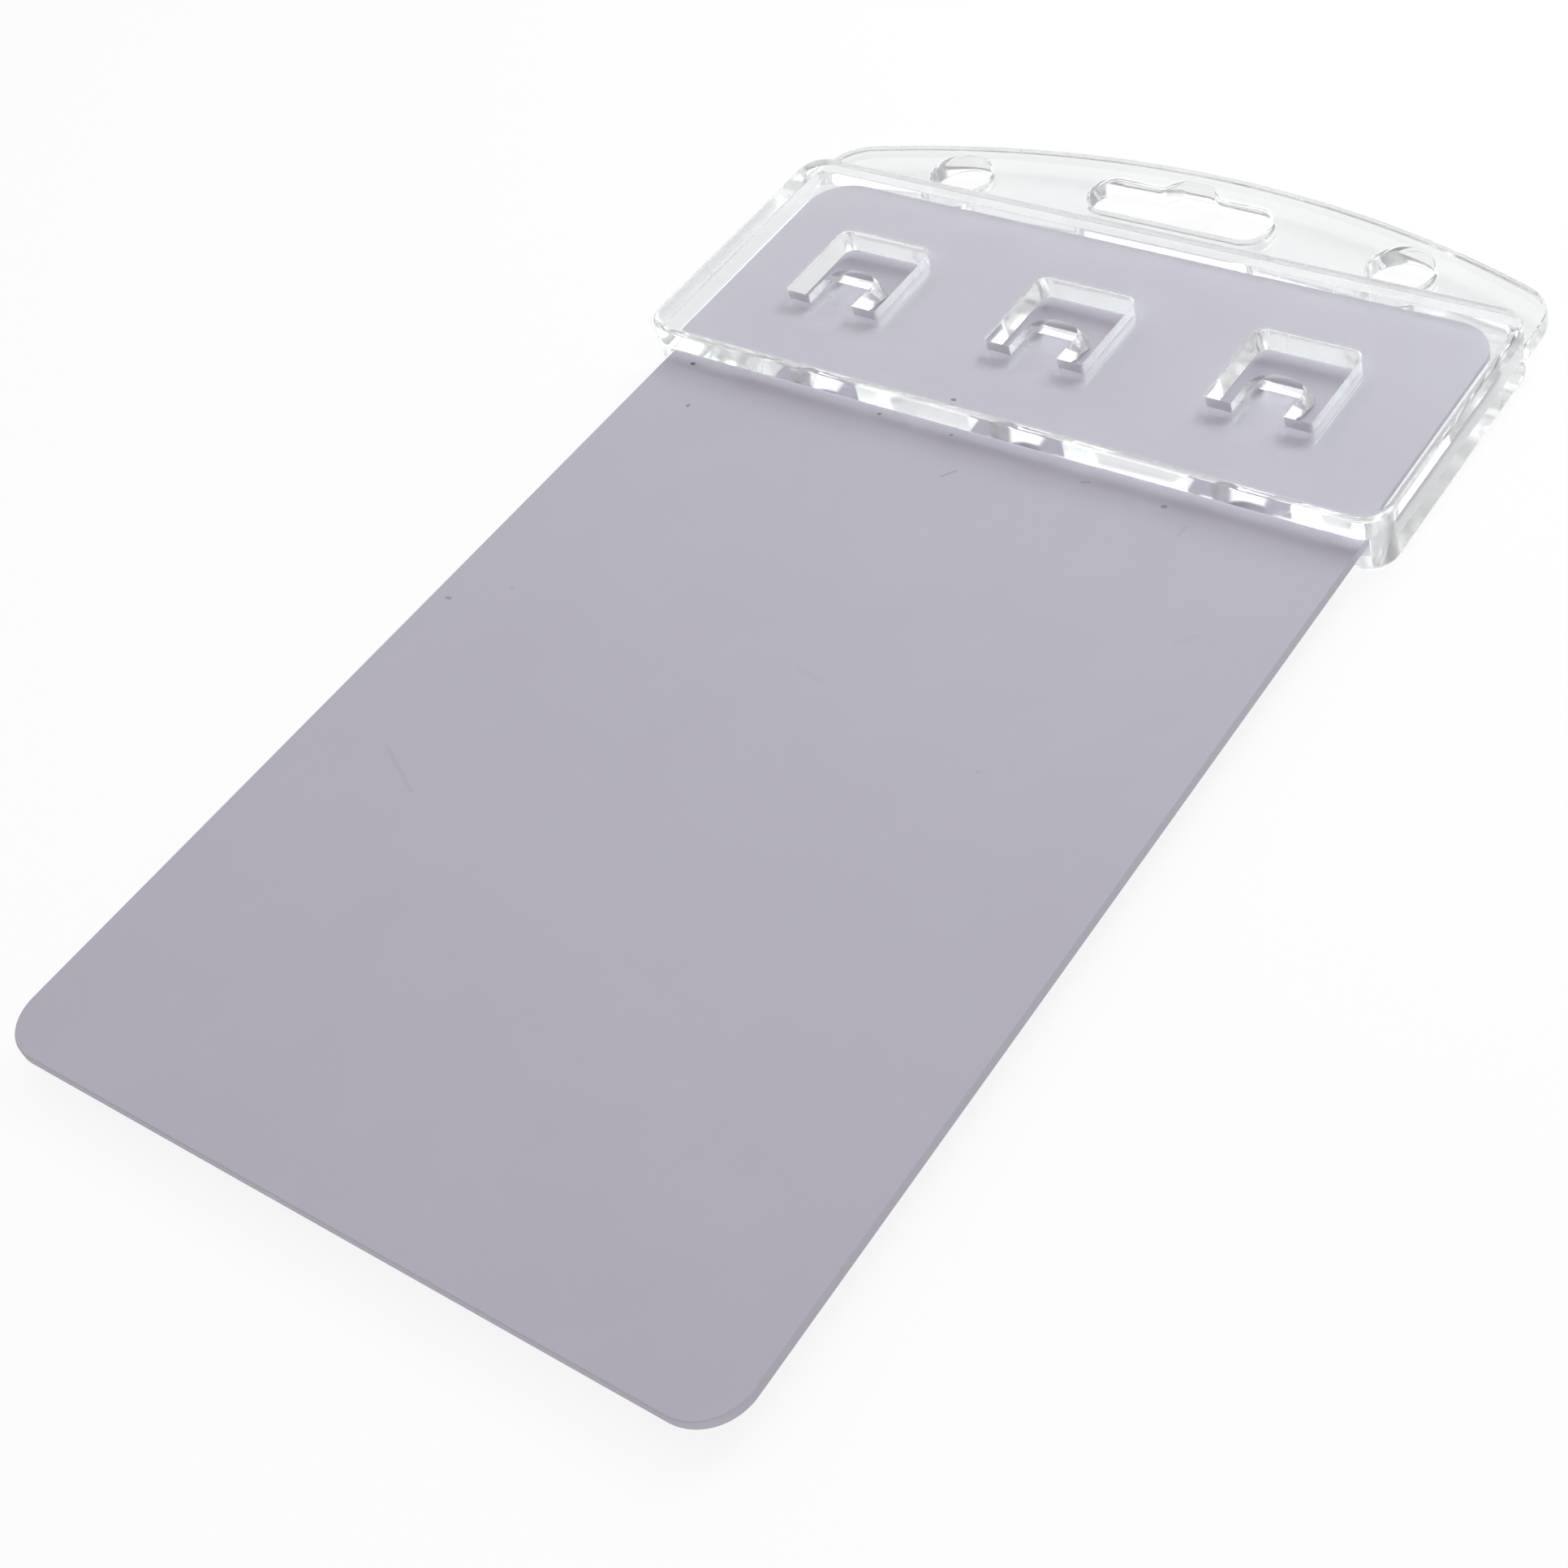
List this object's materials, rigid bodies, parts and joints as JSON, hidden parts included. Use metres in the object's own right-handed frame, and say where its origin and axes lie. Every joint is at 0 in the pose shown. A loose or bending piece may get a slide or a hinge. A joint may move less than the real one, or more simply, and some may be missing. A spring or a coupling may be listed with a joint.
{
  "type": "badge holder",
  "caption": "Clear rigid half-length card holder, portrait, with an arched hang tab, a notched strap slot and flexing grip tongues, holding a plain plastic card.",
  "frame": {"origin": "middle of the object's width and length, on the holder's back face, with the holder lying on its back", "axes": "+X across the width, +Y from the card's free end towards the hang tab, +Z out of the holder's front"},
  "size_m": [0.0576, 0.0956, 0.0044],
  "materials": {
    "clear_back": "clear, glossy moulded polycarbonate",
    "clear_cover": "clear, glossy moulded polycarbonate",
    "clear_tongue": "clear, glossy moulded polycarbonate",
    "card": "satin card plastic, plain grey-lavender"
  },
  "bodies": {
    "holder": {"back_plate": "clear_back", "front_cover": "clear_cover"},
    "left_tongue": {"grip_tongue_left": "clear_tongue"},
    "middle_tongue": {"grip_tongue_middle": "clear_tongue"},
    "right_tongue": {"grip_tongue_right": "clear_tongue"},
    "card": {"id_card": "card"}
  },
  "joints": [
    {"name": "card_slide", "type": "slide", "parent": "holder", "child": "card", "axis": [0, -1, 0], "range_m": [0, 0.022]},
    {"name": "left_tongue_flex", "type": "hinge", "parent": "holder", "child": "left_tongue", "pos_m": [-0.01683, 0.02437, 0.00361], "axis": [1, 0, 0], "range_deg": [0, 4], "stiffness_Nm_per_rad": 1, "springref_deg": -0.57},
    {"name": "middle_tongue_flex", "type": "hinge", "parent": "holder", "child": "middle_tongue", "pos_m": [0, 0.02437, 0.00361], "axis": [1, 0, 0], "range_deg": [0, 4], "stiffness_Nm_per_rad": 1, "springref_deg": -0.57},
    {"name": "right_tongue_flex", "type": "hinge", "parent": "holder", "child": "right_tongue", "pos_m": [0.01683, 0.02437, 0.00361], "axis": [1, 0, 0], "range_deg": [0, 4], "stiffness_Nm_per_rad": 1, "springref_deg": -0.57}
  ]
}
